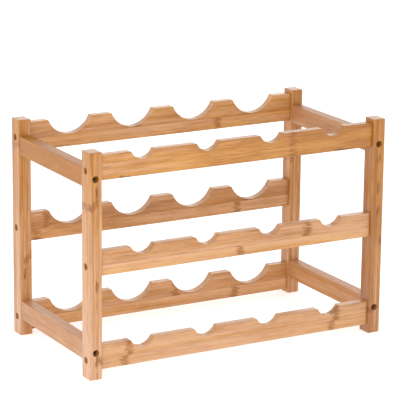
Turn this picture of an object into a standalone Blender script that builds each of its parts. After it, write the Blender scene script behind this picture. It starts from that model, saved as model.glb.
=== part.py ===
"""Counter-top bamboo wine rack: three tiers, four bottles to a tier.

Four posts carry three neck rails in front, three body rails behind and two side rails at
each end.  Every rail end is held by one socket screw, which passes through the post, and is
kept from turning by one dowel.  The axes are X for the width, Y for the depth (the bottles'
necks point to -Y) and Z up.  The origin is on the floor, under the middle of the rack.
"""
import math

import bmesh
import bpy
from mathutils import Vector

# Overall size and posts, in metres.
WIDTH = 0.420
DEPTH = 0.220
HEIGHT = 0.284
POST_WIDTH = 0.017
POST_DEPTH = 0.021
POST_EDGE_RADIUS = 0.0012

# Long rails: a neck rail in front and a body rail behind, on each tier.
TOP_RAIL_TOP = 0.279
TIER_PITCH = 0.1185
LONG_RAIL_THICKNESS = 0.012
NECK_RAIL_HEIGHT = 0.031
BODY_RAIL_HEIGHT = 0.037

# Notches, cut as arcs into the rails' top edges.
BOTTLES_PER_TIER = 4
BOTTLE_PITCH = 0.090
NECK_NOTCH_WIDTH = 0.0325
NECK_NOTCH_DEPTH = 0.0105
BODY_NOTCH_WIDTH = 0.062
BODY_NOTCH_DEPTH = 0.0205
NOTCH_CORNER_RADIUS = 0.0015
NECK_NOTCH_STEPS = 10
BODY_NOTCH_STEPS = 14
CORNER_STEPS = 2

# Side rails, two at each end of the rack.
SIDE_RAIL_HEIGHT = 0.0245
SIDE_RAIL_THICKNESS = 0.015
SIDE_RAIL_TOPS = {"top": 0.2635, "bottom": 0.0465}
SIDE_RAIL_EDGE_RADIUS = 0.0008

# Socket screws, sunk in counterbores, and the dowels beside them.
COUNTERBORE_RADIUS = 0.0042
COUNTERBORE_DEPTH = 0.0080
SCREW_HOLE_RADIUS = 0.0029
SCREW_LENGTH = 0.032
SCREW_RADIUS = 0.0025
SCREW_POINT = 0.003
HEAD_RADIUS = 0.0037
HEAD_HEIGHT = 0.0030
HEAD_CHAMFER = 0.0004
SOCKET_RADIUS = 0.0023
SOCKET_DEPTH = 0.0020
DOWEL_RADIUS = 0.0025
DOWEL_IN_POST = 0.0060
DOWEL_IN_RAIL = 0.0110
DOWEL_CHAMFER = 0.0006
DOWEL_FROM_SCREW = 0.0075
DOWEL_HOLE_RADIUS = 0.0029
ROUND_SIDES = 12
BORE_SIDES = 16

# Air left between two pieces that touch.
GAP = 0.0003
OVERCUT = 0.001

SIDES = {"left": -1, "right": 1}
ROWS = {"front": -1, "back": 1}
TIERS = {"top": 0, "middle": 1, "bottom": 2}


def clear_scene():
    for old in list(bpy.data.objects):
        bpy.data.objects.remove(old, do_unlink=True)


def make_material(name, colour, roughness, metallic=0.0):
    material = bpy.data.materials.new(name)
    material.use_nodes = True
    shader = material.node_tree.nodes["Principled BSDF"]
    shader.inputs["Base Color"].default_value = (*colour, 1.0)
    shader.inputs["Roughness"].default_value = roughness
    shader.inputs["Metallic"].default_value = metallic
    material.diffuse_color = (*colour, 1.0)
    return material


def mesh_from(bm, name, material):
    """Finish a bmesh as a mesh with its faces pointing out."""
    bmesh.ops.recalc_face_normals(bm, faces=bm.faces)
    mesh = bpy.data.meshes.new(name)
    bm.to_mesh(mesh)
    bm.free()
    mesh.materials.append(material)
    return mesh


def place(name, mesh, location, direction=None):
    """Add an object; its local Z points along direction, if there is one."""
    piece = bpy.data.objects.new(name, mesh)
    bpy.context.scene.collection.objects.link(piece)
    piece.location = location
    if direction is not None:
        piece.rotation_euler = Vector(direction).to_track_quat("Z", "Y").to_euler()
    return piece


def rounded_box(size, edge_radius, name, material):
    """A box centred on its origin, with rounded edges."""
    bm = bmesh.new()
    bmesh.ops.create_cube(bm, size=1.0)
    bmesh.ops.scale(bm, vec=size, verts=bm.verts)
    bmesh.ops.bevel(bm, geom=bm.edges[:], offset=edge_radius, segments=2, profile=0.5,
                    affect="EDGES")
    return mesh_from(bm, name, material)


def arc(centre, radius, start, end, steps):
    """Points of a circular arc in the XZ plane, both ends included."""
    angles = [start + (end - start) * step / steps for step in range(steps + 1)]
    return [(centre[0] + radius * math.cos(a), centre[1] + radius * math.sin(a)) for a in angles]


def notch_outline(middle, width, depth, steps):
    """One notch below Z = 0, from left to right, with eased corners."""
    radius = (width * width / 4 + depth * depth) / (2 * depth)
    circle = (middle, radius - depth)
    corner = NOTCH_CORNER_RADIUS
    rise = circle[1] + corner
    reach = math.sqrt((radius + corner) ** 2 - rise ** 2)
    swing = math.atan2(rise, reach)
    left = arc((middle - reach, -corner), corner, math.pi / 2, swing, CORNER_STEPS)
    bowl = arc(circle, radius, math.pi + swing, 2 * math.pi - swing, steps)
    right = arc((middle + reach, -corner), corner, math.pi - swing, math.pi / 2, CORNER_STEPS)
    return left[:-1] + bowl + right[1:]


def long_rail_mesh(name, height, notch_width, notch_depth, steps, material):
    """A rail along X whose top edge is at Z = 0, with one notch for each bottle."""
    half = WIDTH / 2 - POST_WIDTH - GAP
    outline = [(-half, -height), (-half, 0.0)]
    for bottle in range(BOTTLES_PER_TIER):
        middle = (bottle - (BOTTLES_PER_TIER - 1) / 2) * BOTTLE_PITCH
        outline += notch_outline(middle, notch_width, notch_depth, steps)
    outline += [(half, 0.0), (half, -height)]
    bm = bmesh.new()
    verts = [bm.verts.new((x, -LONG_RAIL_THICKNESS / 2, z)) for x, z in outline]
    face = bm.faces.new(verts)
    extruded = bmesh.ops.extrude_face_region(bm, geom=[face])["geom"]
    moved = [item for item in extruded if isinstance(item, bmesh.types.BMVert)]
    bmesh.ops.translate(bm, verts=moved, vec=(0.0, LONG_RAIL_THICKNESS, 0.0))
    return mesh_from(bm, name, material)


def turned_mesh(name, rings, sides, material):
    """A closed solid turned about Z.  Each ring is (height, radius, shape)."""
    bm = bmesh.new()
    loops = []
    for height, radius, shape in rings:
        if radius == 0.0:
            loops.append([bm.verts.new((0.0, 0.0, height))])
            continue
        loop = []
        for side in range(sides):
            angle = 2 * math.pi * side / sides
            reach = radius
            if shape == "hex":
                reach *= math.cos(math.pi / 6) / math.cos(angle % (math.pi / 3) - math.pi / 6)
            loop.append(bm.verts.new((reach * math.cos(angle), reach * math.sin(angle), height)))
        loops.append(loop)
    for lower, upper in zip(loops, loops[1:]):
        for side in range(sides):
            after = (side + 1) % sides
            corners = [lower[side % len(lower)], lower[after % len(lower)],
                       upper[after % len(upper)], upper[side % len(upper)]]
            bm.faces.new(list(dict.fromkeys(corners)))
    for end in (loops[0], loops[-1]):
        if len(end) > 1:
            bm.faces.new(end)
    mesh = mesh_from(bm, name, material)
    mesh.shade_smooth()
    mesh.set_sharp_from_angle(angle=math.radians(40))
    return mesh


def screw_mesh(material):
    """A socket screw whose Z is its depth below the post's outer face."""
    underside = COUNTERBORE_DEPTH - GAP
    crown = underside - HEAD_HEIGHT
    tip = underside + SCREW_LENGTH
    rings = [
        (crown + SOCKET_DEPTH, SOCKET_RADIUS, "hex"),
        (crown, SOCKET_RADIUS, "hex"),
        (crown, HEAD_RADIUS - HEAD_CHAMFER, "round"),
        (crown + HEAD_CHAMFER, HEAD_RADIUS, "round"),
        (underside, HEAD_RADIUS, "round"),
        (underside, SCREW_RADIUS, "round"),
        (tip - SCREW_POINT, SCREW_RADIUS, "round"),
        (tip, 0.0, "round"),
    ]
    return turned_mesh("socket_screw", rings, ROUND_SIDES, material)


def dowel_mesh(material):
    """A dowel whose Z = 0 is the plane where the post meets the rail."""
    low, high = -DOWEL_IN_POST, DOWEL_IN_RAIL
    rings = [
        (low, DOWEL_RADIUS - DOWEL_CHAMFER, "round"),
        (low + DOWEL_CHAMFER, DOWEL_RADIUS, "round"),
        (high - DOWEL_CHAMFER, DOWEL_RADIUS, "round"),
        (high, DOWEL_RADIUS - DOWEL_CHAMFER, "round"),
    ]
    return turned_mesh("dowel", rings, ROUND_SIDES, material)


def screw_hole_mesh(material):
    """The counterbore and clearance hole of one screw, from outside the post inwards."""
    rings = [
        (-OVERCUT, COUNTERBORE_RADIUS, "round"),
        (COUNTERBORE_DEPTH, COUNTERBORE_RADIUS, "round"),
        (COUNTERBORE_DEPTH, SCREW_HOLE_RADIUS, "round"),
        (COUNTERBORE_DEPTH + SCREW_LENGTH, SCREW_HOLE_RADIUS, "round"),
    ]
    return turned_mesh("screw_hole", rings, BORE_SIDES, material)


def dowel_hole_mesh(material):
    rings = [
        (-DOWEL_IN_POST - GAP, DOWEL_HOLE_RADIUS, "round"),
        (DOWEL_IN_RAIL + GAP, DOWEL_HOLE_RADIUS, "round"),
    ]
    return turned_mesh("dowel_hole", rings, ROUND_SIDES, material)


class Cutters:
    """The hole shapes, each linked to the collections of the pieces that it cuts."""

    def __init__(self, material):
        self.screw_hole = screw_hole_mesh(material)
        self.dowel_hole = dowel_hole_mesh(material)
        self.collections = {}

    def cut(self, name, mesh, location, direction, pieces):
        cutter = bpy.data.objects.new(name, mesh)
        cutter.location = location
        cutter.rotation_euler = Vector(direction).to_track_quat("Z", "Y").to_euler()
        cutter.hide_render = True
        cutter.display_type = "WIRE"
        for piece in pieces:
            if piece not in self.collections:
                group = bpy.data.collections.new(f"holes_in_{piece.name}")
                bpy.context.scene.collection.children.link(group)
                self.collections[piece] = group
            self.collections[piece].objects.link(cutter)

    def apply(self):
        for piece, group in self.collections.items():
            boolean = piece.modifiers.new("drilled", "BOOLEAN")
            boolean.operand_type = "COLLECTION"
            boolean.collection = group
            boolean.operation = "DIFFERENCE"
            boolean.solver = "EXACT"


def build_posts(material):
    size = (POST_WIDTH, POST_DEPTH, HEIGHT)
    mesh = rounded_box(size, POST_EDGE_RADIUS, "post", material)
    posts = {}
    for row, front_to_back in ROWS.items():
        for side, left_to_right in SIDES.items():
            x = left_to_right * (WIDTH - POST_WIDTH) / 2
            y = front_to_back * (DEPTH - POST_DEPTH) / 2
            posts[row, side] = place(f"post_{row}_{side}", mesh, (x, y, HEIGHT / 2))
    return posts


def build_long_rails(neck_material, body_material):
    meshes = {
        "front": long_rail_mesh("neck_rail", NECK_RAIL_HEIGHT, NECK_NOTCH_WIDTH,
                                NECK_NOTCH_DEPTH, NECK_NOTCH_STEPS, neck_material),
        "back": long_rail_mesh("body_rail", BODY_RAIL_HEIGHT, BODY_NOTCH_WIDTH,
                               BODY_NOTCH_DEPTH, BODY_NOTCH_STEPS, body_material),
    }
    rails = {}
    for row, front_to_back in ROWS.items():
        for tier, level in TIERS.items():
            top = TOP_RAIL_TOP - level * TIER_PITCH
            y = front_to_back * (DEPTH - POST_DEPTH) / 2
            rails[row, tier] = place(f"{row}_rail_{tier}", meshes[row], (0.0, y, top))
    return rails


def build_side_rails(material):
    length = DEPTH - 2 * POST_DEPTH - 2 * GAP
    size = (SIDE_RAIL_THICKNESS, length, SIDE_RAIL_HEIGHT)
    mesh = rounded_box(size, SIDE_RAIL_EDGE_RADIUS, "side_rail", material)
    rails = {}
    for tier, top in SIDE_RAIL_TOPS.items():
        for side, left_to_right in SIDES.items():
            x = left_to_right * (WIDTH - POST_WIDTH) / 2
            place_at = (x, 0.0, top - SIDE_RAIL_HEIGHT / 2)
            rails[tier, side] = place(f"side_rail_{tier}_{side}", mesh, place_at)
    return rails


def join(name, outer_point, inward, post_thickness, dowel_shift, pieces, hardware, cutters):
    """One rail end: a screw in from the post's outer face and a dowel beside it."""
    screw_at = Vector(outer_point)
    dowel_at = screw_at + Vector(inward) * (post_thickness + GAP / 2)
    dowel_at.z += dowel_shift
    place(f"screw_{name}", hardware["screw"], screw_at, inward)
    place(f"dowel_{name}", hardware["dowel"], dowel_at, inward)
    cutters.cut(f"screw_hole_{name}", cutters.screw_hole, screw_at, inward, pieces)
    cutters.cut(f"dowel_hole_{name}", cutters.dowel_hole, dowel_at, inward, pieces)


def join_long_rails(posts, rails, hardware, cutters):
    """Screws along X; the dowel sits on the side away from the side rail's screw."""
    for (row, tier), rail in rails.items():
        height = TOP_RAIL_TOP - TIERS[tier] * TIER_PITCH - BODY_RAIL_HEIGHT / 2
        y = ROWS[row] * (DEPTH - POST_DEPTH) / 2
        shift = -DOWEL_FROM_SCREW if tier == "bottom" else DOWEL_FROM_SCREW
        for side, left_to_right in SIDES.items():
            outer_point = (left_to_right * WIDTH / 2, y, height)
            inward = (-left_to_right, 0, 0)
            join(f"{row}_rail_{tier}_{side}", outer_point, inward, POST_WIDTH, shift,
                 (posts[row, side], rail), hardware, cutters)


def join_side_rails(posts, rails, hardware, cutters):
    """Screws along Y; the dowel sits on the side away from the long rail's screw."""
    for (tier, side), rail in rails.items():
        height = SIDE_RAIL_TOPS[tier] - SIDE_RAIL_HEIGHT / 2
        x = SIDES[side] * (WIDTH - POST_WIDTH) / 2
        shift = DOWEL_FROM_SCREW if tier == "bottom" else -DOWEL_FROM_SCREW
        for row, front_to_back in ROWS.items():
            outer_point = (x, front_to_back * DEPTH / 2, height)
            inward = (0, -front_to_back, 0)
            join(f"side_rail_{tier}_{side}_{row}", outer_point, inward, POST_DEPTH, shift,
                 (posts[row, side], rail), hardware, cutters)


def build_rack():
    clear_scene()
    post_bamboo = make_material("post_bamboo", (0.62, 0.37, 0.17), 0.45)
    neck_rail_bamboo = make_material("neck_rail_bamboo", (0.66, 0.40, 0.18), 0.45)
    body_rail_bamboo = make_material("body_rail_bamboo", (0.60, 0.35, 0.15), 0.45)
    side_rail_bamboo = make_material("side_rail_bamboo", (0.58, 0.33, 0.15), 0.45)
    screw_steel = make_material("screw_zinc", (0.45, 0.34, 0.16), 0.35, metallic=1.0)
    dowel_beech = make_material("dowel_beech", (0.68, 0.50, 0.31), 0.60)
    hole_marker = make_material("hole_marker", (0.20, 0.10, 0.05), 0.80)

    posts = build_posts(post_bamboo)
    long_rails = build_long_rails(neck_rail_bamboo, body_rail_bamboo)
    side_rails = build_side_rails(side_rail_bamboo)
    hardware = {"screw": screw_mesh(screw_steel), "dowel": dowel_mesh(dowel_beech)}
    cutters = Cutters(hole_marker)
    join_long_rails(posts, long_rails, hardware, cutters)
    join_side_rails(posts, side_rails, hardware, cutters)
    cutters.apply()


build_rack()
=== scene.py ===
import math
from collections import namedtuple

import bmesh
import bpy
import numpy as np
from mathutils import Matrix, Vector


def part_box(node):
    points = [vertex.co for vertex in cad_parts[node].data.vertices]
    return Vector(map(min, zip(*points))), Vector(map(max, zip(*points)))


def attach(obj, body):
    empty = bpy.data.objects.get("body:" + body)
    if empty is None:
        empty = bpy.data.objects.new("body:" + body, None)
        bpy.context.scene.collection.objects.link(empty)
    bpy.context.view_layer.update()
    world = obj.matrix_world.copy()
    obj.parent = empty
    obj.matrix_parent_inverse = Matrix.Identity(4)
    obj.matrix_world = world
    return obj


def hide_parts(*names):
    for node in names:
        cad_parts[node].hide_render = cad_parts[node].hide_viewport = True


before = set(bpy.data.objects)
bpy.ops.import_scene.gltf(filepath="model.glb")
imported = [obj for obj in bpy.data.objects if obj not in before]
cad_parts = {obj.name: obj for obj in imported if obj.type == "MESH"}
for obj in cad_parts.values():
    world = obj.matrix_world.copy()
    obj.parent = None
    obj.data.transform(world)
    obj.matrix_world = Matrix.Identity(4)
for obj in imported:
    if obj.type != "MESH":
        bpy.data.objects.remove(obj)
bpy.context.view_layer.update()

# A bamboo wine rack: the pieces of the CAD frame, remade with rounded edges, drilled holes,
# threaded screws and fluted dowels, in laminated bamboo, zinc-plated steel and beech.
# Lengths are in metres, unless a comment says otherwise.

ROWS = {"front": -1, "back": 1}
SIDES = {"left": -1, "right": 1}
TIERS = ("top", "middle", "bottom")
SIDE_TIERS = ("top", "bottom")

# Notches, repeated from the CAD: arcs cut into the top edges of the long rails.
BOTTLES = 4
BOTTLE_PITCH = 0.090
NOTCH_SIZES = {"front": (0.0325, 0.0105), "back": (0.062, 0.0205)}
NOTCH_CORNER = 0.0015
NOTCH_STEPS = {"front": 20, "back": 32}
CORNER_STEPS = 5

# Rounded edges, and the width of the strip beside them that keeps the shading flat.
POST_EDGE = 0.0012
POST_END_EDGE = 0.0008
RAIL_EDGE = 0.0007
SIDE_RAIL_EDGE = 0.0010
CUT_EDGE = 0.0002
EDGE_STEPS = 4
EDGE_MARGIN = 0.0015

# Screws and their holes.  The main sizes repeat the CAD's, and the thread and the eased edges
# are added here.  Depths run from the post's outer face.
COUNTERBORE_RADIUS = 0.0042
COUNTERBORE_DEPTH = 0.0080
RIM_CHAMFER = 0.0002
SCREW_HOLE_RADIUS = 0.0029
SCREW_HOLE_DEPTH = 0.0400
HEAD_RADIUS = 0.0037
HEAD_TOP = 0.0047
HEAD_BOTTOM = 0.0077
HEAD_ROUNDING = 0.0005
SOCKET_RADIUS = 0.0023
SOCKET_DEPTH = 0.0020
SOCKET_CHAMFER = 0.0002
SOCKET_CONE = 0.0004
UNDERHEAD_FILLET = 0.0003
SHANK_RADIUS = 0.0021
SCREW_TIP = 0.0397
SCREW_POINT = 0.0040
THREAD_START = 0.0120
THREAD_RADIUS = 0.0025
THREAD_ROOT = 0.0016
THREAD_PITCH = 0.0018
THREAD_STEP = 0.00018
THREAD_HALF_CREST = 0.3          # in pitches
TIP_SHARE = 0.12                 # the point's last radius, as a share of the full one
SCREW_TURN = math.radians(37.0)  # how much further each screw is turned than the last
HOLE_SIDES = 48
SCREW_SIDES = 36
OVERCUT = 0.001

# Dowels and their holes.  How long a dowel is and where it lies are read from the frame.
DOWEL_RADIUS = 0.0025
DOWEL_CHAMFER = 0.0006
DOWEL_FLUTES = 16
FLUTE_DEPTH = 0.00015
FLUTE_SHARPNESS = 3
DOWEL_SIDES = 96
DOWEL_HOLE_RADIUS = 0.0029
DOWEL_HOLE_SPARE = 0.0003

# The camera looks at a point near the middle of the rack.
CAMERA_AIM = Vector((0.0062, 0.0062, 0.1741))
CAMERA_DISTANCE = 2.8615
CAMERA_TURN = math.radians(-29.4118)
CAMERA_PITCH = math.radians(90 - 14.776)
CAMERA_ROLL = math.radians(0.596)
CAMERA_LENS = 200.8              # in millimetres, as is the sensor's width
SENSOR_WIDTH = 36.0

# How far the outer strips and plies would reach past the wood, had it not been planed.
PLANED_OFF = 0.0006

SHARP_ANGLE = math.radians(38)

# The random seed of each kind's first piece.
SEEDS = {"post": 1.0, "front_rail": 11.0, "back_rail": 16.0, "side_rail": 21.0,
         "screw": 31.0, "dowel": 61.0}

# The studio: the sky's strength falls from horizon to zenith between two heights, given as
# the sine of the elevation.
HORIZON_LIGHT = 1.02
ZENITH_LIGHT = 0.80
SKY_FALL = (0.15, 0.75)
FLOOR_GLOW = 0.52
FLOOR_HALF = 20.0

# Area lights: where each stands, what it faces, its size, its power in watts and its colour.
Light = namedtuple("Light", "name place target size power colour")
LIGHTS = (
    Light("front_window", (-0.80, -1.00, 0.60), (-0.05, -0.05, 0.13), (0.7, 0.7), 4.9,
          (0.94, 0.99, 1.0)),
    Light("left_window", (-0.80, 0.00, 0.38), (-0.21, 0.0, 0.13), (0.5, 0.5), 0.4,
          (1.0, 1.0, 1.0)),
    Light("back_panel", (0.55, 1.75, 0.85), (0.0, 0.0, 0.28), (3.2, 1.2), 10.5,
          (1.0, 1.0, 1.0)),
)


# ---------------------------------------------------------------- mesh making

def rounded_outline(half_x, half_y, radius, margin):
    """A rectangle with rounded corners, and a support point beside each end of an arc."""
    points = []
    for quarter in range(4):
        turn = quarter * math.pi / 2
        sign_x, sign_y = ((1, 1), (-1, 1), (-1, -1), (1, -1))[quarter]
        centre = (sign_x * (half_x - radius), sign_y * (half_y - radius))
        arc = []
        for step in range(EDGE_STEPS + 1):
            angle = turn + math.pi / 2 * step / EDGE_STEPS
            arc.append((centre[0] + radius * math.cos(angle), centre[1] + radius * math.sin(angle)))
        before = (margin * math.sin(turn), -margin * math.cos(turn))
        after = (-margin * math.cos(turn), -margin * math.sin(turn))
        points.append((arc[0][0] + before[0], arc[0][1] + before[1]))
        points += arc
        points.append((arc[-1][0] + after[0], arc[-1][1] + after[1]))
    return points


def bridge(bm, loops, closed=True):
    """Skin neighbouring loops with four-sided faces; a one-point loop makes a fan."""
    for first, second in zip(loops, loops[1:]):
        count = max(len(first), len(second))
        for here in range(count if closed else count - 1):
            after = (here + 1) % count
            corners = [first[here % len(first)], first[after % len(first)],
                       second[after % len(second)], second[here % len(second)]]
            bm.faces.new(list(dict.fromkeys(corners)))


def finish_mesh(bm, name):
    bmesh.ops.recalc_face_normals(bm, faces=bm.faces)
    mesh = bpy.data.meshes.new(name)
    bm.to_mesh(mesh)
    bm.free()
    return mesh


def add_piece(name, mesh, materials, matrix=None):
    """Link a mesh as an object whose vertices are in the frame's own coordinates."""
    if matrix is not None:
        mesh.transform(matrix)
    for material in materials:
        mesh.materials.append(material)
    piece = bpy.data.objects.new(name, mesh)
    bpy.context.scene.collection.objects.link(piece)
    return piece


def eased_bar(name, size, edge, end_edge):
    """A bar along Z, centred on the origin, with rounded long edges and eased ends."""
    bm = bmesh.new()
    half = size[2] / 2
    stations = []
    for step in range(EDGE_STEPS + 1):
        angle = math.pi / 2 * step / EDGE_STEPS
        inset = end_edge * (1 - math.sin(angle))
        stations.append((-half + end_edge * (1 - math.cos(angle)), inset))
    stations.append((-half + end_edge + EDGE_MARGIN, 0.0))
    stations += [(-height, inset) for height, inset in reversed(stations)]
    loops = []
    for height, inset in stations:
        outline = rounded_outline(size[0] / 2 - inset, size[1] / 2 - inset, edge - inset,
                                  EDGE_MARGIN)
        loops.append([bm.verts.new((x, y, height)) for x, y in outline])
    bridge(bm, loops)
    bm.faces.new(loops[0])
    bm.faces.new(loops[-1])
    return finish_mesh(bm, name)


def arc_with_normals(centre, radius, start, end, steps, hollow):
    """Points (x, z) of an arc, each with the direction that points out of the wood."""
    sign = -1 if hollow else 1
    points = []
    for step in range(steps + 1):
        angle = start + (end - start) * step / steps
        out = (sign * math.cos(angle), sign * math.sin(angle))
        points.append((centre[0] + radius * math.cos(angle), centre[1] + radius * math.sin(angle),
                       *out))
    return points


def notch_outline(middle_x, width, depth, steps):
    """One bottle notch below z = 0, from left to right, with eased corners."""
    radius = (width * width / 4 + depth * depth) / (2 * depth)
    circle = (middle_x, radius - depth)
    rise = circle[1] + NOTCH_CORNER
    reach = math.sqrt((radius + NOTCH_CORNER) ** 2 - rise ** 2)
    swing = math.atan2(rise, reach)
    left = arc_with_normals((middle_x - reach, -NOTCH_CORNER), NOTCH_CORNER, math.pi / 2, swing,
                            CORNER_STEPS, False)
    bowl = arc_with_normals(circle, radius, math.pi + swing, 2 * math.pi - swing, steps, True)
    right = arc_with_normals((middle_x + reach, -NOTCH_CORNER), NOTCH_CORNER, math.pi - swing,
                             math.pi / 2, CORNER_STEPS, False)
    return left[:-1] + bowl + right[1:]


def rail_outline(half, row):
    """The top edge of a long rail at z = 0: notches joined by straight stretches."""
    width, depth = NOTCH_SIZES[row]
    outline = [(-half, 0.0, 0.0, 1.0)]
    for bottle in range(BOTTLES):
        middle_x = (bottle - (BOTTLES - 1) / 2) * BOTTLE_PITCH
        outline += notch_outline(middle_x, width, depth, NOTCH_STEPS[row])
    outline.append((half, 0.0, 0.0, 1.0))
    return outline


def long_rail(name, size, row):
    """A notched rail along X, its top edge at Z = 0, with all its long edges rounded."""
    bm = bmesh.new()
    half_length, half_thickness, height = size[0] / 2, size[1] / 2, size[2]
    quarter = [math.pi / 2 * step / EDGE_STEPS for step in range(EDGE_STEPS + 1)]
    profile = [(RAIL_EDGE + EDGE_MARGIN, 0.0)]
    profile += [(RAIL_EDGE * (1 - math.sin(a)), RAIL_EDGE * (1 - math.cos(a))) for a in quarter]
    loops = []
    for x, z, out_x, out_z in rail_outline(half_length, row):
        top = [(x - out_x * drop, -half_thickness + inset, z - out_z * drop)
               for drop, inset in profile]
        top += [(px, -py, pz) for px, py, pz in reversed(top)]
        bottom = [(x, half_thickness - inset, drop - height) for drop, inset in profile]
        bottom += [(px, -py, pz) for px, py, pz in reversed(bottom)]
        loops.append([bm.verts.new(point) for point in top + bottom])
    bridge(bm, loops)
    bm.faces.new(loops[0])
    bm.faces.new(loops[-1])
    return finish_mesh(bm, name)


def turned(name, rings, sides):
    """A closed solid turned about Z from (height, radius) rings; radius may be a function."""
    bm = bmesh.new()
    loops = []
    for height, radius in rings:
        if radius == 0.0:
            loops.append([bm.verts.new((0.0, 0.0, height))])
            continue
        loop = []
        for side in range(sides):
            angle = 2 * math.pi * side / sides
            reach = radius(angle, height) if callable(radius) else radius
            loop.append(bm.verts.new((reach * math.cos(angle), reach * math.sin(angle), height)))
        loops.append(loop)
    bridge(bm, loops)
    for end in (loops[0], loops[-1]):
        if len(end) > 1:
            bm.faces.new(end)
    return finish_mesh(bm, name)


def hexagon(radius):
    def reach(angle, height):
        return radius * math.cos(math.pi / 6) / math.cos(angle % (math.pi / 3) - math.pi / 6)
    return reach


def thread_radius(angle, height):
    """A narrow V thread that fades in under the head and tapers into the point."""
    phase = ((height - THREAD_START) / THREAD_PITCH - angle / (2 * math.pi)) % 1.0
    crest = max(0.0, 1.0 - abs(phase - 0.5) / THREAD_HALF_CREST)
    fade = min(1.0, max(0.0, (height - THREAD_START) / THREAD_PITCH))
    root = SHANK_RADIUS + (THREAD_ROOT - SHANK_RADIUS) * fade
    taper = min(1.0, (SCREW_TIP - height) / SCREW_POINT)
    return (root + (THREAD_RADIUS - root) * crest * fade) * (TIP_SHARE + (1.0 - TIP_SHARE) * taper)


def screw_mesh(name):
    """A socket screw whose Z is its depth below the post's outer face."""
    socket_floor = HEAD_TOP + SOCKET_DEPTH
    rings = [
        (socket_floor + SOCKET_CONE, 0.0),
        (socket_floor, hexagon(SOCKET_RADIUS)),
        (HEAD_TOP + SOCKET_CHAMFER, hexagon(SOCKET_RADIUS)),
        (HEAD_TOP, hexagon(SOCKET_RADIUS + SOCKET_CHAMFER)),
    ]
    for step in range(EDGE_STEPS + 1):
        angle = math.pi / 2 * step / EDGE_STEPS
        rings.append((HEAD_TOP + HEAD_ROUNDING * (1 - math.cos(angle)),
                      HEAD_RADIUS - HEAD_ROUNDING * (1 - math.sin(angle))))
    rings += [(HEAD_BOTTOM, HEAD_RADIUS), (HEAD_BOTTOM, SHANK_RADIUS + UNDERHEAD_FILLET),
              (HEAD_BOTTOM + UNDERHEAD_FILLET, SHANK_RADIUS)]
    turns = int((SCREW_TIP - THREAD_START) / THREAD_STEP)
    rings += [(THREAD_START + THREAD_STEP * step, thread_radius) for step in range(turns)]
    rings.append((SCREW_TIP, 0.0))
    return turned(name, rings, SCREW_SIDES)


def fluted(radius):
    def reach(angle, height):
        groove = 0.5 - 0.5 * math.cos(DOWEL_FLUTES * angle)
        return radius - FLUTE_DEPTH * groove ** FLUTE_SHARPNESS
    return reach


def dowel_mesh(name, length):
    """A fluted dowel along Z, centred on the origin."""
    half = length / 2
    rings = [
        (-half, DOWEL_RADIUS - DOWEL_CHAMFER),
        (-half + DOWEL_CHAMFER, fluted(DOWEL_RADIUS)),
        (half - DOWEL_CHAMFER, fluted(DOWEL_RADIUS)),
        (half, DOWEL_RADIUS - DOWEL_CHAMFER),
    ]
    return turned(name, rings, DOWEL_SIDES)


def screw_hole_mesh(name):
    rings = [
        (-OVERCUT, COUNTERBORE_RADIUS + RIM_CHAMFER + OVERCUT),
        (RIM_CHAMFER, COUNTERBORE_RADIUS),
        (COUNTERBORE_DEPTH, COUNTERBORE_RADIUS),
        (COUNTERBORE_DEPTH, SCREW_HOLE_RADIUS),
        (SCREW_HOLE_DEPTH, SCREW_HOLE_RADIUS),
    ]
    return turned(name, rings, HOLE_SIDES)


def dowel_hole_mesh(name, length):
    half = length / 2 + DOWEL_HOLE_SPARE
    rings = [(-half, DOWEL_HOLE_RADIUS), (half, DOWEL_HOLE_RADIUS)]
    return turned(name, rings, HOLE_SIDES)


def drill(piece, cutters):
    """Cut the cutters out of a piece; the cut faces take the piece's second material."""
    group = bpy.data.collections.new(f"cutters_{piece.name}")
    bpy.context.scene.collection.children.link(group)
    for cutter in cutters:
        group.objects.link(cutter)
    boolean = piece.modifiers.new("drilled", "BOOLEAN")
    boolean.operand_type = "COLLECTION"
    boolean.collection = group
    boolean.solver = "EXACT"
    bake_modifiers(piece)
    bpy.data.collections.remove(group)


def bake_modifiers(piece):
    """Keep a piece's evaluated mesh as its own mesh."""
    bpy.context.view_layer.update()
    depsgraph = bpy.context.evaluated_depsgraph_get()
    mesh = bpy.data.meshes.new_from_object(piece.evaluated_get(depsgraph))
    piece.modifiers.clear()
    piece.data = mesh


def shade(piece):
    """Smooth shading with sharp creases, and flat faces kept flat beside rounded edges."""
    piece.data.shade_smooth()
    piece.data.set_sharp_from_angle(angle=SHARP_ANGLE)
    weighted = piece.modifiers.new("flat_faces", "WEIGHTED_NORMAL")
    weighted.keep_sharp = True
    weighted.weight = 100  # the largest face at a vertex decides
    bake_modifiers(piece)


# ---------------------------------------------------------------- material nodes

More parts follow.
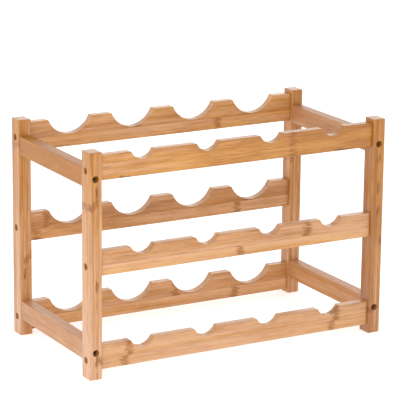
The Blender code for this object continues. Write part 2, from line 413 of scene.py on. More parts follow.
class Graph:
    """Short calls that add nodes to a material and hand back their output sockets."""

    def __init__(self, name):
        self.material = bpy.data.materials.new(name)
        self.material.use_nodes = True
        self.tree = self.material.node_tree
        self.shader = self.tree.nodes["Principled BSDF"]

    def add(self, kind, inputs=(), **settings):
        node = self.tree.nodes.new(kind)
        for name, value in settings.items():
            setattr(node, name, value)
        for socket, value in inputs:
            self.feed(node.inputs[socket], value)
        return node

    def feed(self, socket, value):
        if isinstance(value, bpy.types.NodeSocket):
            self.tree.links.new(value, socket)
        elif isinstance(value, tuple) and len(value) == 3 and socket.type == "RGBA":
            socket.default_value = (*value, 1.0)
        else:
            socket.default_value = value

    def math(self, operation, first, second=0.0, clamp=False):
        node = self.add("ShaderNodeMath", [(0, first), (1, second)], operation=operation,
                        use_clamp=clamp)
        return node.outputs[0]

    def smooth(self, value, low, high, to_low=0.0, to_high=1.0):
        node = self.add("ShaderNodeMapRange", interpolation_type="SMOOTHSTEP")
        for socket, number in zip(range(5), (value, low, high, to_low, to_high)):
            self.feed(node.inputs[socket], number)
        return node.outputs[0]

    def mix(self, factor, first, second, blend="MIX"):
        node = self.add("ShaderNodeMix", [(0, factor), (6, first), (7, second)],
                        data_type="RGBA", blend_type=blend)
        return node.outputs[2]

    def blend(self, factor, first, second):
        node = self.add("ShaderNodeMix", [(0, factor), (2, first), (3, second)],
                        data_type="FLOAT")
        return node.outputs[0]

    def join(self, x, y, z):
        return self.add("ShaderNodeCombineXYZ", [(0, x), (1, y), (2, z)]).outputs[0]

    def split(self, vector):
        return self.add("ShaderNodeSeparateXYZ", [(0, vector)]).outputs

    def attribute(self, name, output="Fac"):
        return self.add("ShaderNodeAttribute", attribute_name=name).outputs[output]

    def scaled(self, vector, scale, shift):
        """vector * scale + shift."""
        return self.add("ShaderNodeVectorMath", [(0, vector), (1, scale), (2, shift)],
                        operation="MULTIPLY_ADD").outputs[0]

    def noise(self, vector, kind, shift):
        """Fractal noise, 0 to 1 and about a half on average, with shift moving its pattern."""
        place = self.scaled(vector, kind.scale, shift)
        node = self.add("ShaderNodeTexNoise", [
            ("Vector", place), ("Scale", 1.0), ("Detail", kind.detail),
            ("Roughness", kind.roughness), ("Distortion", kind.distortion)])
        return node.outputs[0]

    def random(self, x, y, z):
        """Three random numbers for each cell, as a vector."""
        node = self.add("ShaderNodeTexWhiteNoise", [("Vector", self.join(x, y, z))])
        return node.outputs["Color"]

    def pick(self, index, values):
        """One of three values, by an index of 0, 1 or 2."""
        is_first = self.math("LESS_THAN", index, 0.5)
        is_last = self.math("GREATER_THAN", index, 1.5)
        picked = self.blend(is_first, values[1], values[0])
        return self.blend(is_last, picked, values[2])

    def ramp(self, value, stops):
        node = self.add("ShaderNodeValToRGB", [(0, value)])
        elements = node.color_ramp.elements
        while len(elements) < len(stops):
            elements.new(1.0)
        for element, (position, colour) in zip(elements, stops):
            element.position = position
            element.color = (*colour, 1.0)
        return node.outputs[0]

    def plus(self, value, part, gain):
        """value + part * gain."""
        return self.math("ADD", value, self.math("MULTIPLY", part, gain))

    def lay(self, mask, mark, colour):
        """A mark over a colour, where the mask is."""
        return self.mix(self.math("MULTIPLY", mask, mark.cover), colour, mark.colour)

    def swing(self, value, gain):
        """How far a value is from a half, times gain."""
        return self.math("MULTIPLY", self.math("SUBTRACT", value, 0.5), gain)

    def bump(self, height, distance):
        node = self.add("ShaderNodeBump", [("Height", height), ("Distance", distance),
                                           ("Strength", 1.0)])
        return node.outputs[0]

    def finish(self, colour, roughness, normal):
        for name, value in (("Base Color", colour), ("Roughness", roughness),
                            ("Normal", normal)):
            self.feed(self.shader.inputs[name], value)


# Noise: cycles for each metre along the grain, across the strips and through the plies, and
# then the noise node's own detail, roughness and distortion.
Noise = namedtuple("Noise", "scale detail roughness distortion", defaults=(2.0, 0.5, 0.0))
# A mark over a surface: how much of the surface it covers, and its colour.
Mark = namedtuple("Mark", "cover colour")

# Bamboo's own colours, linear, from the palest level to the darkest, and a rosy tint, which
# is weaker in the dark levels and in the marks.  The tint is partly the wood's own rosy drift
# and partly a painted reflection of the pale floor and studio, which the blushes bring in.
BAMBOO_TONES = (
    (0.00, (0.720, 0.425, 0.160)),
    (0.32, (0.590, 0.275, 0.064)),
    (0.66, (0.415, 0.160, 0.023)),
    (1.00, (0.290, 0.097, 0.012)),
)
MEAN_LEVEL = 0.45
LEVEL_TO_TONE = 0.6
ROSE_AND_REFLECTION = (0.650, 0.380, 0.240)
ROSE_NOISE = Noise((4.0, 190.0, 190.0))
ROSE_SWING = 1.6
DARK_LEVELS = (0.7, 1.5)
ROSE_AND_REFLECTION_IN_DARK = 0.3
ROSE_AND_REFLECTION_IN_MARKS = 0.3

# The growth figure, from the broad tone to single fibres, which show more where they crowd.
CLOUD_NOISE = Noise((16.0, 75.0, 75.0))
STREAK_NOISE = Noise((9.0, 420.0, 420.0), 3.0, 0.62)
LINE_NOISE = Noise((42.0, 950.0, 950.0), 2.0, 0.65)
FIBRE_NOISE = Noise((75.0, 2500.0, 2500.0), 2.0, 0.65)
FIBRE_RANGE = (0.53, 0.70)
FIBRE_COVER = 0.14
CROWDED_COVER = 0.26
BAMBOO_FIBRE = (0.280, 0.098, 0.018)
# How far a strip's random draw moves its noise, so that no two strips match.
STRIP_SHIFT = (90.0, 170.0, 310.0)

# Growth rings across the strips, in metres.  A ring is a band that fades out between two
# distances, a little darker than the wood, with rusty spots and squiggles in it.
NODE_SPACING = 0.298
NODE_WOBBLE = 0.020
NODE_WOBBLE_NOISE = Noise((30.0, 330.0, 330.0))
NODE_BAND = (0.0020, 0.0072)
NODE_DARKER = 0.10
FAINTEST_NODE = 0.8
RUST = Mark(0.95, (0.200, 0.048, 0.001))
RUST_NOISE = Noise((130.0, 290.0, 290.0), 3.0, 0.60, 1.2)
SPOT_RANGE = (0.57, 0.64)
SPOT_STRENGTH = 0.7
SQUIGGLE_RANGE = (0.014, 0.068)  # to either side of a half

# Sap streaks.  A placed one is a bent ellipse of dark threads, with its sizes in metres, and
# fades out between two squares of the distance.  Rare ones come from a noise alone.
SAP = Mark(0.80, (0.150, 0.038, 0.003))
SAP_HALF_LENGTH = 0.0095
SAP_HALF_WIDTH = 0.0022
SAP_FADE = (0.1, 1.3)
SAP_BEND = 0.006
SAP_BEND_NOISE = Noise((140.0, 0.0, 0.0), 1.0)
SAP_THREAD_NOISE = Noise((110.0, 1300.0, 1300.0), 1.0)
SAP_THREAD_RANGE = (0.24, 0.52)
RARE_SAP_NOISE = Noise((26.0, 520.0, 520.0), 1.0)
RARE_SAP_RANGE = (0.72, 0.82)

# Glue lines between strips and between plies: half their width, in metres.
GLUE = Mark(0.50, (0.300, 0.112, 0.022))
STRIP_GLUE = 0.00032
PLY_GLUE = 0.00020

# Cut surfaces: end grain, known by how much of its normal lies along the grain, and bores.
END_GRAIN = Mark(0.12, BAMBOO_FIBRE)
END_GRAIN_RANGE = (0.75, 0.97)
BORE = Mark(0.50, (0.370, 0.160, 0.038))

# The bamboo's gloss, and its relief: the bump's height in metres, and shares of that height.
WOOD_IOR = 1.5
WOOD_SPECULAR = 0.28
WOOD_ROUGHNESS = 0.38
STREAK_ROUGHNESS = 0.14
FIBRE_ROUGHNESS = 0.25
BORE_ROUGHNESS = 0.25
LACQUER_ROUGHNESS = 0.24
WOOD_BUMP = 0.00010
RIPPLE_NOISE = Noise((200.0, 420.0, 420.0), 1.0)
RIPPLE_HEIGHT = 0.35
PORE_RANGE = (0.50, 0.72)
PORE_DEPTH = 0.30
GLUE_DEPTH = 0.35
RUST_DEPTH = 0.25

# Zinc, and the painted shade in its sockets: a near-black colour that stands for the shade inside
# them.
ZINC_BRIGHT = (0.42, 0.29, 0.095)
ZINC_DULL = (0.26, 0.20, 0.09)
ZINC_CLOUD_NOISE = Noise((420.0, 420.0, 420.0), 3.0, 0.6)
ZINC_CLOUD_RANGE = (0.35, 0.65)
ZINC_SPECK = Mark(0.45, (0.16, 0.11, 0.06))
ZINC_SPECK_NOISE = Noise((3800.0, 3800.0, 3800.0), 2.0, 0.6)
ZINC_SPECK_RANGE = (0.55, 0.75)
ZINC_ROUGHNESS = 0.26
SPECK_ROUGHNESS = 0.22
ZINC_BUMP = 0.00002
SOCKET_SHADE = Mark(0.85, (0.035, 0.026, 0.018))
SOCKET_SHADE_SPREAD = 1.06                # in socket radii
SOCKET_ROUGHNESS = 0.30

# Beech.
BEECH_PALE = (0.66, 0.47, 0.29)
BEECH_DARK = (0.52, 0.33, 0.18)
BEECH_STREAK_NOISE = Noise((60.0, 1500.0, 1500.0), 3.0, 0.6)
BEECH_STREAK_RANGE = (0.3, 0.7)
BEECH_RAY = Mark(0.60, (0.34, 0.19, 0.10))
BEECH_RAY_NOISE = Noise((700.0, 3200.0, 3200.0), 1.0)
BEECH_RAY_RANGE = (0.60, 0.70)
BEECH_ROUGHNESS = 0.52
BEECH_STREAK_ROUGHNESS = 0.2
BEECH_BUMP = 0.00006

# The studio floor's paper.
PAPER_PALE = (0.82, 0.82, 0.82)
PAPER_DARK = (0.79, 0.79, 0.79)
PAPER_NOISE = Noise((900.0, 900.0, 900.0))
PAPER_ROUGHNESS = 0.9
PAPER_BUMP = 0.00003

# How far a unit of a screw's or dowel's seed moves its noise.
SEED_SHIFT = (1.0, 3.7, 7.3)
NO_SHIFT = (0.0, 0.0, 0.0)

# How one kind of bamboo piece is glued up: the width and the start of its strips, the
# thickness of its plies, the axis of its grain, how strong its cloud, streaks, lines and
# crowded fibres are, and the weight of its lacquer.
Layout = namedtuple("Layout", "strip_width strip_start ply axis figure lacquer")


def strips_and_plies(g, grain, layout):
    """The strip and the ply at a point, each with how far across it the point is, 0 to 1."""
    _, across, depth = g.split(grain)
    strip_place = g.math("DIVIDE", g.math("SUBTRACT", across, layout.strip_start),
                         layout.strip_width)
    ply_place = g.math("DIVIDE", depth, layout.ply)
    found = []
    for place in (strip_place, ply_place):
        number = g.math("FLOOR", place)
        found += [number, g.math("SUBTRACT", place, number)]
    return found


def culm_nodes(g, grain, shift, strip, chance):
    """Masks of the growth rings across a strip: the soft band and the rust in it."""
    along = g.split(grain)[0]
    node_at = g.pick(strip, g.split(g.attribute("marks", "Vector")))
    wobble = g.swing(g.noise(grain, NODE_WOBBLE_NOISE, shift), NODE_WOBBLE)
    turns = g.math("DIVIDE", g.math("SUBTRACT", g.math("ADD", along, wobble), node_at),
                   NODE_SPACING)
    distance = g.math("MULTIPLY", g.math("PINGPONG", turns, 0.5), NODE_SPACING)
    band = g.smooth(distance, *NODE_BAND, 1.0, 0.0)
    rust = g.noise(grain, RUST_NOISE, shift)
    off_half = g.math("ABSOLUTE", g.math("SUBTRACT", rust, 0.5))
    squiggles = g.smooth(off_half, *SQUIGGLE_RANGE, 1.0, 0.0)
    spots = g.math("MULTIPLY", g.smooth(rust, *SPOT_RANGE), SPOT_STRENGTH)
    strength = g.math("MULTIPLY", band, g.blend(chance, FAINTEST_NODE, 1.0))
    return band, g.math("MULTIPLY", g.math("MAXIMUM", spots, squiggles), strength)


def sap_streaks(g, grain, shift):
    """Dark streaks that taper at both ends: up to three placed ones, and a rare few more."""
    along, across, _ = g.split(grain)
    reach = 1.0
    for place in g.split(g.attribute("sap", "Vector")):
        reach = g.math("MINIMUM", reach, g.math("ABSOLUTE", g.math("SUBTRACT", along, place)))
    reach = g.math("DIVIDE", reach, SAP_HALF_LENGTH)
    bend = g.swing(g.noise(grain, SAP_BEND_NOISE, shift), SAP_BEND)
    side = g.math("SUBTRACT", g.math("ADD", across, bend), g.attribute("sap_line"))
    side = g.math("DIVIDE", side, SAP_HALF_WIDTH)
    square = g.math("ADD", g.math("MULTIPLY", reach, reach), g.math("MULTIPLY", side, side))
    threads = g.smooth(g.noise(grain, SAP_THREAD_NOISE, shift), *SAP_THREAD_RANGE)
    placed = g.math("MULTIPLY", g.smooth(square, *SAP_FADE, 1.0, 0.0), threads)
    rare = g.smooth(g.noise(grain, RARE_SAP_NOISE, shift), *RARE_SAP_RANGE)
    return g.math("MAXIMUM", placed, rare)


def edge_line(g, within, width, half_line):
    """A thin mask at both sides of a strip or ply; within runs from 0 to 1 across it."""
    distance = g.math("MULTIPLY", g.math("MINIMUM", within, g.math("SUBTRACT", 1.0, within)),
                      width)
    return g.smooth(distance, half_line / 4, half_line, 1.0, 0.0)


def end_grain(g, axis):
    """A mask of the faces that lie across the grain."""
    normal = g.split(g.add("ShaderNodeNewGeometry").outputs["Normal"])
    return g.smooth(g.math("ABSOLUTE", normal["XYZ".index(axis)]), *END_GRAIN_RANGE)


def ground_colour(g, grain, shift, strip, layout, parts, band, sap):
    """The wood's colour with painted light in it: its level from pale to dark, which takes painted
    shade from the strip tones, then a rosy drift over it, which takes painted reflections from the
    blushes.
    """
    level = g.math("SUBTRACT", MEAN_LEVEL,
                   g.pick(strip, g.split(g.attribute("tones", "Vector"))))
    level = g.plus(level, band, NODE_DARKER)
    for part, gain in zip(parts, layout.figure):
        level = g.math("ADD", level, g.swing(part, gain))
    colour = g.ramp(g.math("MULTIPLY", level, LEVEL_TO_TONE), BAMBOO_TONES)
    # The blush is partly a painted reflection of the pale floor and studio.
    blush_and_reflection = g.pick(strip, g.split(g.attribute("blushes", "Vector")))
    drift = g.swing(g.noise(grain, ROSE_NOISE, shift), ROSE_SWING)
    rosy_and_reflected = g.math("ADD", blush_and_reflection, drift, clamp=True)
    rosy_and_reflected = g.math("MULTIPLY", rosy_and_reflected, g.smooth(level, *DARK_LEVELS, 1.0, ROSE_AND_REFLECTION_IN_DARK))
    rosy_and_reflected = g.math("MULTIPLY", rosy_and_reflected, g.blend(g.math("MAXIMUM", band, sap), 1.0, ROSE_AND_REFLECTION_IN_MARKS))
    return g.mix(rosy_and_reflected, colour, ROSE_AND_REFLECTION)


def bamboo(name, layout, bored=False):
    """Laminated bamboo.  The grain attribute holds (along, strips, plies) in metres."""
    g = Graph(name)
    grain = g.attribute("grain", "Vector")
    strip, within_strip, ply, within_ply = strips_and_plies(g, grain, layout)
    draw = g.random(strip, ply, g.attribute("seed"))
    chance = g.split(draw)
    shift = g.scaled(draw, STRIP_SHIFT, NO_SHIFT)

    # Growth figure, from the broad tone to single fibres.
    cloud = g.noise(grain, CLOUD_NOISE, shift)
    streak = g.noise(grain, STREAK_NOISE, shift)
    line = g.noise(grain, LINE_NOISE, shift)
    fibre = g.noise(grain, FIBRE_NOISE, shift)
    # Fibres crowd towards one face of every strip: the culm's outer side.
    outer_side = g.math("GREATER_THAN", chance[2], 0.5)
    crowding = g.blend(outer_side, within_strip, g.math("SUBTRACT", 1.0, within_strip))
    fibres = g.math("MULTIPLY", g.smooth(fibre, *FIBRE_RANGE),
                    g.plus(FIBRE_COVER, crowding, CROWDED_COVER))

    band, rust = culm_nodes(g, grain, shift, strip, chance[1])
    sap = sap_streaks(g, grain, shift)
    glue = g.math("MAXIMUM", edge_line(g, within_strip, layout.strip_width, STRIP_GLUE),
                  edge_line(g, within_ply, layout.ply, PLY_GLUE))

    colour = ground_colour(g, grain, shift, strip, layout, (cloud, streak, line, crowding),
                           band, sap)
    colour = g.mix(fibres, colour, BAMBOO_FIBRE)
    # Rust, sap and glue lie over the fibres, and end grain drinks more lacquer.
    for mask, mark in ((rust, RUST), (sap, SAP), (glue, GLUE),
                       (end_grain(g, layout.axis), END_GRAIN)):
        colour = g.lay(mask, mark, colour)

    roughness = g.plus(WOOD_ROUGHNESS, streak, STREAK_ROUGHNESS)
    roughness = g.plus(roughness, fibres, FIBRE_ROUGHNESS)
    if bored:
        colour = g.mix(BORE.cover, colour, BORE.colour)
        roughness = g.math("ADD", roughness, BORE_ROUGHNESS)
    height = g.math("MULTIPLY", g.noise(grain, RIPPLE_NOISE, shift), RIPPLE_HEIGHT)
    for groove, depth in ((g.smooth(fibre, *PORE_RANGE), PORE_DEPTH), (glue, GLUE_DEPTH),
                          (rust, RUST_DEPTH)):
        height = g.math("SUBTRACT", height, g.math("MULTIPLY", groove, depth))
    g.finish(colour, roughness, g.bump(height, WOOD_BUMP))
    g.shader.inputs["IOR"].default_value = WOOD_IOR
    g.shader.inputs["Specular IOR Level"].default_value = WOOD_SPECULAR
    if not bored:
        g.shader.inputs["Coat Weight"].default_value = layout.lacquer
        g.shader.inputs["Coat Roughness"].default_value = LACQUER_ROUGHNESS
    return g.material


def seeded_shift(g):
    """A shift of the noise that differs from piece to piece."""
    seed = g.attribute("seed")
    return g.scaled(g.join(seed, seed, seed), SEED_SHIFT, NO_SHIFT)


def socket_mask(g, grain):
    """Where a point is inside the screw's socket, from its own axis and depth."""
    along, across, depth = g.split(grain)
    off_axis = g.math("SQRT", g.math("ADD", g.math("MULTIPLY", across, across),
                                     g.math("MULTIPLY", depth, depth)))
    near_axis = g.smooth(off_axis, SOCKET_RADIUS, SOCKET_RADIUS * SOCKET_SHADE_SPREAD, 1.0, 0.0)
    inside = g.math("MULTIPLY", near_axis,
                    g.smooth(along, HEAD_TOP, HEAD_TOP + SOCKET_DEPTH / 2))
    return g.math("MULTIPLY", inside, g.math("LESS_THAN", along, HEAD_BOTTOM))


def zinc(name):
    """Yellow-passivated zinc: brassy and cloudy, and rougher inside the socket, which is painted
    near-black as painted shade.
    """
    g = Graph(name)
    grain = g.attribute("grain", "Vector")
    shift = seeded_shift(g)
    cloud = g.noise(grain, ZINC_CLOUD_NOISE, shift)
    speck = g.noise(grain, ZINC_SPECK_NOISE, shift)
    colour = g.mix(g.smooth(cloud, *ZINC_CLOUD_RANGE), ZINC_BRIGHT, ZINC_DULL)
    colour = g.lay(g.smooth(speck, *ZINC_SPECK_RANGE), ZINC_SPECK, colour)
    # Painted shade: the inside of the socket is painted near-black.
    socket_shade = socket_mask(g, grain)
    colour = g.lay(socket_shade, SOCKET_SHADE, colour)
    roughness = g.plus(ZINC_ROUGHNESS, speck, SPECK_ROUGHNESS)
    roughness = g.plus(roughness, socket_shade, SOCKET_ROUGHNESS)
    g.finish(colour, roughness, g.bump(speck, ZINC_BUMP))
    g.shader.inputs["Metallic"].default_value = 1.0
    return g.material


def beech(name):
    """Compressed beech dowel stock, with pores and short ray flecks."""
    g = Graph(name)
    grain = g.attribute("grain", "Vector")
    shift = seeded_shift(g)
    streak = g.noise(grain, BEECH_STREAK_NOISE, shift)
    ray = g.noise(grain, BEECH_RAY_NOISE, shift)
    colour = g.mix(g.smooth(streak, *BEECH_STREAK_RANGE), BEECH_PALE, BEECH_DARK)
    colour = g.lay(g.smooth(ray, *BEECH_RAY_RANGE), BEECH_RAY, colour)
    roughness = g.plus(BEECH_ROUGHNESS, streak, BEECH_STREAK_ROUGHNESS)
    g.finish(colour, roughness, g.bump(streak, BEECH_BUMP))
    return g.material


def studio_paper(name):
    """White paper that glows a little, so that it stays white in the rack's own shade."""
    g = Graph(name)
    place = g.add("ShaderNodeNewGeometry").outputs["Position"]
    fine = g.noise(place, PAPER_NOISE, NO_SHIFT)
    g.finish(g.mix(fine, PAPER_DARK, PAPER_PALE), PAPER_ROUGHNESS, g.bump(fine, PAPER_BUMP))
    g.shader.inputs["Emission Color"].default_value = (1.0, 1.0, 1.0, 1.0)
    g.shader.inputs["Emission Strength"].default_value = FLOOR_GLOW
    return g.material


# ---------------------------------------------------------------- the rack

# A place along the grain that no piece reaches, for the sap streaks that a piece lacks.
FAR = 9.0
NOWHERE = (FAR, FAR, FAR)


def label(piece, grain, seed, tones=(0.0, 0.0, 0.0), tone_and_shade_slope=0.0, blushes=(0.0, 0.0, 0.0),
          blush_and_reflection_slope=0.0, marks=(0.0, 0.0, 0.0), sap=NOWHERE, sap_line=0.0):
    """Write what the materials read: place in the grain, and what is particular to the piece.

    grain turns the frame's coordinates into (along, strips, plies).  The slopes are changes
    for each metre along the grain.
    """
    mesh = piece.data
    count = len(mesh.vertices)
    places = np.zeros(count * 3, np.float32)
    mesh.vertices.foreach_get("co", places)
    rotation = np.array(grain.to_3x3(), np.float32)
    places = places.reshape(-1, 3) @ rotation.T + np.array(grain.translation, np.float32)
    along = places[:, 0:1]
    # Tones and blushes carry painted shade and painted reflections, as well as the wood's own
    # differences.
    vectors = {"grain": places, "tones": along * tone_and_shade_slope + tones,
               "blushes": along * blush_and_reflection_slope + blushes, "marks": marks, "sap": sap}
    for name, value in vectors.items():
        layer = mesh.attributes.new(name, "FLOAT_VECTOR", "POINT")
        layer.data.foreach_set("vector", np.full((count, 3), value, np.float32).ravel())
    for name, value in {"seed": seed, "sap_line": sap_line}.items():
        layer = mesh.attributes.new(name, "FLOAT", "POINT")
        layer.data.foreach_set("value", np.full(count, value, np.float32))


def grain_frame(centre, along, across, depth):
    """The matrix that turns the frame's coordinates into a piece's grain coordinates."""
    rows = Matrix((along, across, depth))
    matrix = rows.to_4x4()
    matrix.translation = -(rows @ centre)
    return matrix


X, Y, Z = Vector((1, 0, 0)), Vector((0, 1, 0)), Vector((0, 0, 1))


def middle(node):
    low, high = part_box(node)
    return (low + high) / 2


def size_of(node):
    low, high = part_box(node)
    return high - low


def settle(piece, node):
    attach(piece, "root")
    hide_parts(node)


def all_joins():
    """Every rail end: its name, its post, its rail and the way in which its screw points."""
    found = []
    for row, front_to_back in ROWS.items():
        for side, left_to_right in SIDES.items():
            post = f"post_{row}_{side}"
            for tier in TIERS:
                rail = f"{row}_rail_{tier}"
                found.append((f"{rail}_{side}", post, rail, Vector((-left_to_right, 0, 0))))
            for tier in SIDE_TIERS:
                rail = f"side_rail_{tier}_{side}"
                found.append((f"{rail}_{row}", post, rail, Vector((0, -front_to_back, 0))))
    return found


def pointing(place, direction):
    """The matrix of a turned piece at place, with its Z along direction."""
    return Matrix.Translation(place) @ direction.to_track_quat("Z", "Y").to_matrix().to_4x4()


def span(node, direction):
    """A node's extent along an axis direction."""
    return size_of(node).dot(Vector([abs(part) for part in direction]))


def entry_point(screw, post, inward):
    """Where a screw's axis meets the outer face of its post."""
    axis_point = middle(screw)
    to_centre = inward.dot(middle(post) - axis_point)
    return axis_point + inward * (to_centre - span(post, inward) / 2)


def make_cutters(joins, materials):
    """The holes of every join, as cutter shapes, listed for each post and rail."""
    cutters = {}
    for name, post, rail, inward in joins:
        dowel = f"dowel_{name}"
        length = span(dowel, inward)
        shapes = [
            (screw_hole_mesh("screw_hole"), entry_point(f"screw_{name}", post, inward)),
            (dowel_hole_mesh("dowel_hole", length), middle(dowel)),
        ]
        for mesh, place in shapes:
            cutter = add_piece(f"cutter_{name}", mesh, materials, pointing(place, inward))
            mesh.polygons.foreach_set("material_index", [1] * len(mesh.polygons))
            for node in (post, rail):
                cutters.setdefault(node, []).append(cutter)
    return cutters


def build_posts(cutters, wood):
    for index, (row, side) in enumerate((r, s) for r in ROWS for s in SIDES):
        node = f"post_{row}_{side}"
        mesh = eased_bar(node, size_of(node), POST_EDGE, POST_END_EDGE)
        piece = add_piece(f"bamboo_{node}", mesh, wood, Matrix.Translation(middle(node)))
        drill(piece, cutters[node])
        shade(piece)
        label(piece, grain_frame(middle(node), Z, X, Y), SEEDS["post"] + index,
              **POST_LOOKS[row, side])
        settle(piece, node)


def build_long_rails(cutters, woods):
    for row in ROWS:
        for index, tier in enumerate(TIERS):
            node = f"{row}_rail_{tier}"
            low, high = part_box(node)
            top = Vector(((low.x + high.x) / 2, (low.y + high.y) / 2, high.z))
            mesh = long_rail(node, high - low, row)
            piece = add_piece(f"bamboo_{node}", mesh, woods[row], Matrix.Translation(top))
            drill(piece, cutters[node])
            shade(piece)
            label(piece, grain_frame(top, X, -Z, Y), SEEDS[f"{row}_rail"] + index,
                  **RAIL_LOOKS[row, tier])
            settle(piece, node)


def build_side_rails(cutters, wood):
    for index, (tier, side) in enumerate((t, s) for t in SIDE_TIERS for s in SIDES):
        node = f"side_rail_{tier}_{side}"
        size = size_of(node)
        mesh = eased_bar(node, (size.x, size.z, size.y), SIDE_RAIL_EDGE, CUT_EDGE)
        lying = Matrix.Translation(middle(node)) @ Matrix.Rotation(math.pi / 2, 4, "X")
        piece = add_piece(f"bamboo_{node}", mesh, wood, lying)
        drill(piece, cutters[node])
        shade(piece)
        label(piece, grain_frame(middle(node), Y, Z, X), SEEDS["side_rail"] + index,
              **SIDE_RAIL_LOOKS[tier, side])
        settle(piece, node)


def build_hardware(joins, steel, wood):
    for index, (name, post, rail, inward) in enumerate(joins):
        screw, dowel = f"screw_{name}", f"dowel_{name}"
        across = Z.cross(inward)
        entry = entry_point(screw, post, inward)
        spin = Matrix.Rotation(SCREW_TURN * index, 4, "Z")
        piece = add_piece(f"zinc_{screw}", screw_mesh(screw), [steel],
                          pointing(entry, inward) @ spin)
        shade(piece)
        label(piece, grain_frame(entry, inward, across, Z), SEEDS["screw"] + index)
        settle(piece, screw)
        length = span(dowel, inward)
        piece = add_piece(f"beech_{dowel}", dowel_mesh(dowel, length), [wood],
                          pointing(middle(dowel), inward) @ spin)
        shade(piece)
        label(piece, grain_frame(middle(dowel), inward, across, Z), SEEDS["dowel"] + index)
        settle(piece, dowel)


# What sets the pieces apart.  Each strip has its tone (+ lighter), its blush (golden to rosy)
# and the place where its culm node crosses it.  The tones and blushes, and their slopes along
# the grain, hold the wood's own differences and painted light as well: darker strips and
# pieces where the rack lies in shade are painted shade, rosier low parts are a painted
# reflection of the floor, and tones and blushes that change along the grain paint how the light
# falls off.  Sap streaks have up to three places along the grain, and one line across it.
# Places are in metres from the middle of a post or side rail, and from the middle of a long
# rail's top edge.  A side rail is a single strip, and at CLEAR neither a culm node nor the
# next one, NODE_SPACING away, falls on it.
CLEAR = 0.20
POST_LOOKS = {
    # The first strip holds the left face and is darker: painted shade.  Blushes grow towards the
    # foot, as on every post: a painted reflection of the floor.
    ("front", "left"): dict(tones=(-0.64, -0.57, -0.41), tone_and_shade_slope=-0.4,
                            blushes=(0.46, 0.44, 0.42), blush_and_reflection_slope=(-4.0, -2.6, -2.6),
                            marks=(0.075, 0.079, -0.118), sap=(0.093, -0.024, -0.119),
                            sap_line=0.0010),
    # Its first strip holds its inner left face and is darker, most of all towards the foot: painted
    # shade.
    ("front", "right"): dict(tones=(-1.02, -0.66, -0.58), tone_and_shade_slope=(1.8, 0.6, 0.6),
                             blushes=(0.0, -0.02, -0.02), blush_and_reflection_slope=-3.6,
                             marks=(-0.11, 0.090, -0.02), sap=(0.052, 0.020, FAR),
                             sap_line=0.0006),
    # The first strip holds the left face and is darker: painted shade.
    ("back", "left"): dict(tones=(-0.66, -0.60, -0.54), tone_and_shade_slope=0.5,
                           blushes=(0.42, 0.18, 0.14), blush_and_reflection_slope=(-3.8, -0.8, -0.8),
                           marks=(0.11, -0.043, -0.036), sap=(-0.060, FAR, FAR),
                           sap_line=-0.0018),
    ("back", "right"): dict(tones=(-0.60, -0.50, -0.55), blushes=(0.12, 0.12, 0.12),
                            blush_and_reflection_slope=-2.0, marks=(0.05, 0.09, -0.06)),
}
RAIL_LOOKS = {
    # Lighter and rosier towards its left end: painted light, falling off to the right.
    ("front", "top"): dict(tones=(-0.56, -0.48, 0.0), tone_and_shade_slope=-0.8, blushes=(-0.08, -0.08, 0.0),
                           blush_and_reflection_slope=-1.6, marks=(0.0748, 0.0760, 0.0),
                           sap=(0.153, 0.145, -0.160), sap_line=0.0302),
    ("front", "middle"): dict(tones=(-0.52, -0.20, 0.0), blushes=(0.42, 0.38, 0.0),
                              marks=(0.10, 0.002, 0.0)),
    ("front", "bottom"): dict(tones=(-0.37, -0.25, 0.0), blushes=(0.50, 0.50, 0.0),
                              marks=(-0.153, -0.160, 0.0)),
    ("back", "top"): dict(tones=(-0.48, -0.38, 0.0), blushes=(0.20, 0.20, 0.0),
                          marks=(-0.04, 0.08, 0.0)),
    ("back", "middle"): dict(tones=(-0.72, -0.48, 0.0), blushes=(0.37, 0.33, 0.0),
                             marks=(-0.170, -0.185, 0.0), sap=(-0.183, FAR, FAR),
                             sap_line=0.0362),
    ("back", "bottom"): dict(tones=(-0.50, -0.32, 0.0), blushes=(0.28, 0.28, 0.0),
                             marks=(0.02, 0.11, 0.0)),
}
SIDE_RAIL_LOOKS = {
    # Less rosy and more golden: a painted reflection of something dark beside it.
    ("top", "left"): dict(tones=(-0.80, 0.0, 0.0), blushes=(-1.2, 0.0, 0.0),
                          marks=(CLEAR, 0.0, 0.0)),
    # Darker: painted shade.
    ("top", "right"): dict(tones=(-0.88, 0.0, 0.0), blushes=(0.72, 0.0, 0.0),
                           marks=(CLEAR, 0.0, 0.0)),
    # Darker, painted shade, and rosier, a painted reflection of the floor.
    ("bottom", "left"): dict(tones=(-0.83, 0.0, 0.0), blushes=(1.0, 0.0, 0.0),
                             marks=(CLEAR, 0.0, 0.0)),
    ("bottom", "right"): dict(tones=(-0.60, 0.0, 0.0), blushes=(0.45, 0.0, 0.0),
                              marks=(CLEAR, 0.0, 0.0)),
}


# A post has so many strips from left to right, a long rail's strips are so wide from its top
# edge down, and a side rail's plies are so thick.
POST_STRIPS = 3
NECK_RAIL_STRIP = 0.0189
BODY_RAIL_STRIP = 0.0226
SIDE_RAIL_PLY = 0.005
# Wider than any piece.  Plies this thick meet in the middle of the piece.
WHOLE = 1.0


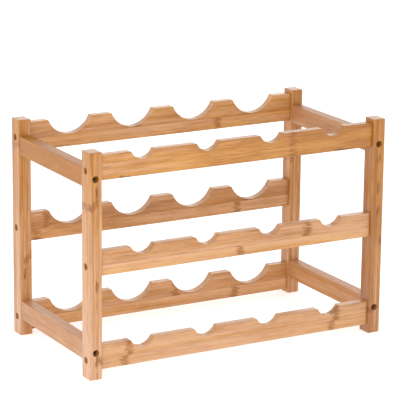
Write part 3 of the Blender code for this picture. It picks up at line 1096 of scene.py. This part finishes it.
def layouts():
    """How each kind of piece is glued up, from the sizes of the CAD pieces."""
    post = size_of("post_front_left")
    rail_ply = size_of("back_rail_top").y / 2 + PLANED_OFF
    return {
        "post": Layout((post.x + 2 * PLANED_OFF) / POST_STRIPS, -post.x / 2 - PLANED_OFF,
                       WHOLE, "Z", figure=(0.9, 1.3, 1.2, 0.30), lacquer=0.55),
        "neck_rail": Layout(NECK_RAIL_STRIP, -PLANED_OFF, rail_ply, "X",
                            figure=(1.2, 0.9, 1.5, 0.20), lacquer=0.55),
        "body_rail": Layout(BODY_RAIL_STRIP, -PLANED_OFF, rail_ply, "X",
                            figure=(1.0, 0.8, 1.5, 0.20), lacquer=0.55),
        "side_rail": Layout(WHOLE, -WHOLE / 2, SIDE_RAIL_PLY, "Y",
                            figure=(0.7, 0.6, 0.8, 0.10), lacquer=0.15),
    }


def build_rack():
    woods = {kind: [bamboo(f"{kind}_bamboo", layout), bamboo(f"{kind}_bore", layout, bored=True)]
             for kind, layout in layouts().items()}
    joins = all_joins()
    cutters = make_cutters(joins, woods["post"])
    build_posts(cutters, woods["post"])
    build_long_rails(cutters, {"front": woods["neck_rail"], "back": woods["body_rail"]})
    build_side_rails(cutters, woods["side_rail"])
    for cutter in {cutter for group in cutters.values() for cutter in group}:
        bpy.data.objects.remove(cutter, do_unlink=True)
    build_hardware(joins, zinc("screw_zinc"), beech("dowel_beech"))


# ---------------------------------------------------------------- studio and camera

def build_floor():
    bm = bmesh.new()
    bmesh.ops.create_grid(bm, x_segments=1, y_segments=1, size=FLOOR_HALF)
    mesh = bpy.data.meshes.new("floor")
    bm.to_mesh(mesh)
    bm.free()
    add_piece("floor", mesh, [studio_paper("studio_paper")])


def add_light(light):
    data = bpy.data.lights.new(light.name, "AREA")
    data.shape = "RECTANGLE"
    data.size, data.size_y = light.size
    data.energy = light.power
    data.color = light.colour
    lamp = bpy.data.objects.new(light.name, data)
    bpy.context.scene.collection.objects.link(lamp)
    lamp.location = light.place
    lamp.visible_camera = False
    facing = Vector(light.target) - Vector(light.place)
    lamp.rotation_euler = facing.to_track_quat("-Z", "Y").to_euler()


def build_sky():
    """A white sky, brighter round the horizon than overhead."""
    world = bpy.data.worlds.new("studio")
    bpy.context.scene.world = world
    world.use_nodes = True
    tree = world.node_tree
    direction = tree.nodes.new("ShaderNodeTexCoord")
    parts = tree.nodes.new("ShaderNodeSeparateXYZ")
    fall = tree.nodes.new("ShaderNodeMapRange")
    fall.interpolation_type = "SMOOTHSTEP"
    for socket, value in (("From Min", SKY_FALL[0]), ("From Max", SKY_FALL[1]),
                          ("To Min", HORIZON_LIGHT), ("To Max", ZENITH_LIGHT)):
        fall.inputs[socket].default_value = value
    tree.links.new(direction.outputs["Generated"], parts.inputs[0])
    tree.links.new(parts.outputs["Z"], fall.inputs["Value"])
    background = tree.nodes["Background"]
    background.inputs["Color"].default_value = (1.0, 1.0, 1.0, 1.0)
    tree.links.new(fall.outputs[0], background.inputs["Strength"])


def build_studio():
    build_sky()
    for light in LIGHTS:
        add_light(light)
    bpy.context.scene.view_settings.view_transform = "Standard"


def build_camera():
    camera = bpy.data.cameras.new("camera")
    camera.lens = CAMERA_LENS
    camera.sensor_width = SENSOR_WIDTH
    turn = (Matrix.Rotation(CAMERA_TURN, 4, "Z") @ Matrix.Rotation(CAMERA_PITCH, 4, "X")
            @ Matrix.Rotation(CAMERA_ROLL, 4, "Z"))
    eye = bpy.data.objects.new("camera", camera)
    eye.matrix_world = Matrix.Translation(CAMERA_AIM) @ turn @ Matrix.Translation(
        (0.0, 0.0, CAMERA_DISTANCE))
    bpy.context.scene.collection.objects.link(eye)
    bpy.context.scene.camera = eye


build_camera()
build_studio()
build_floor()
build_rack()
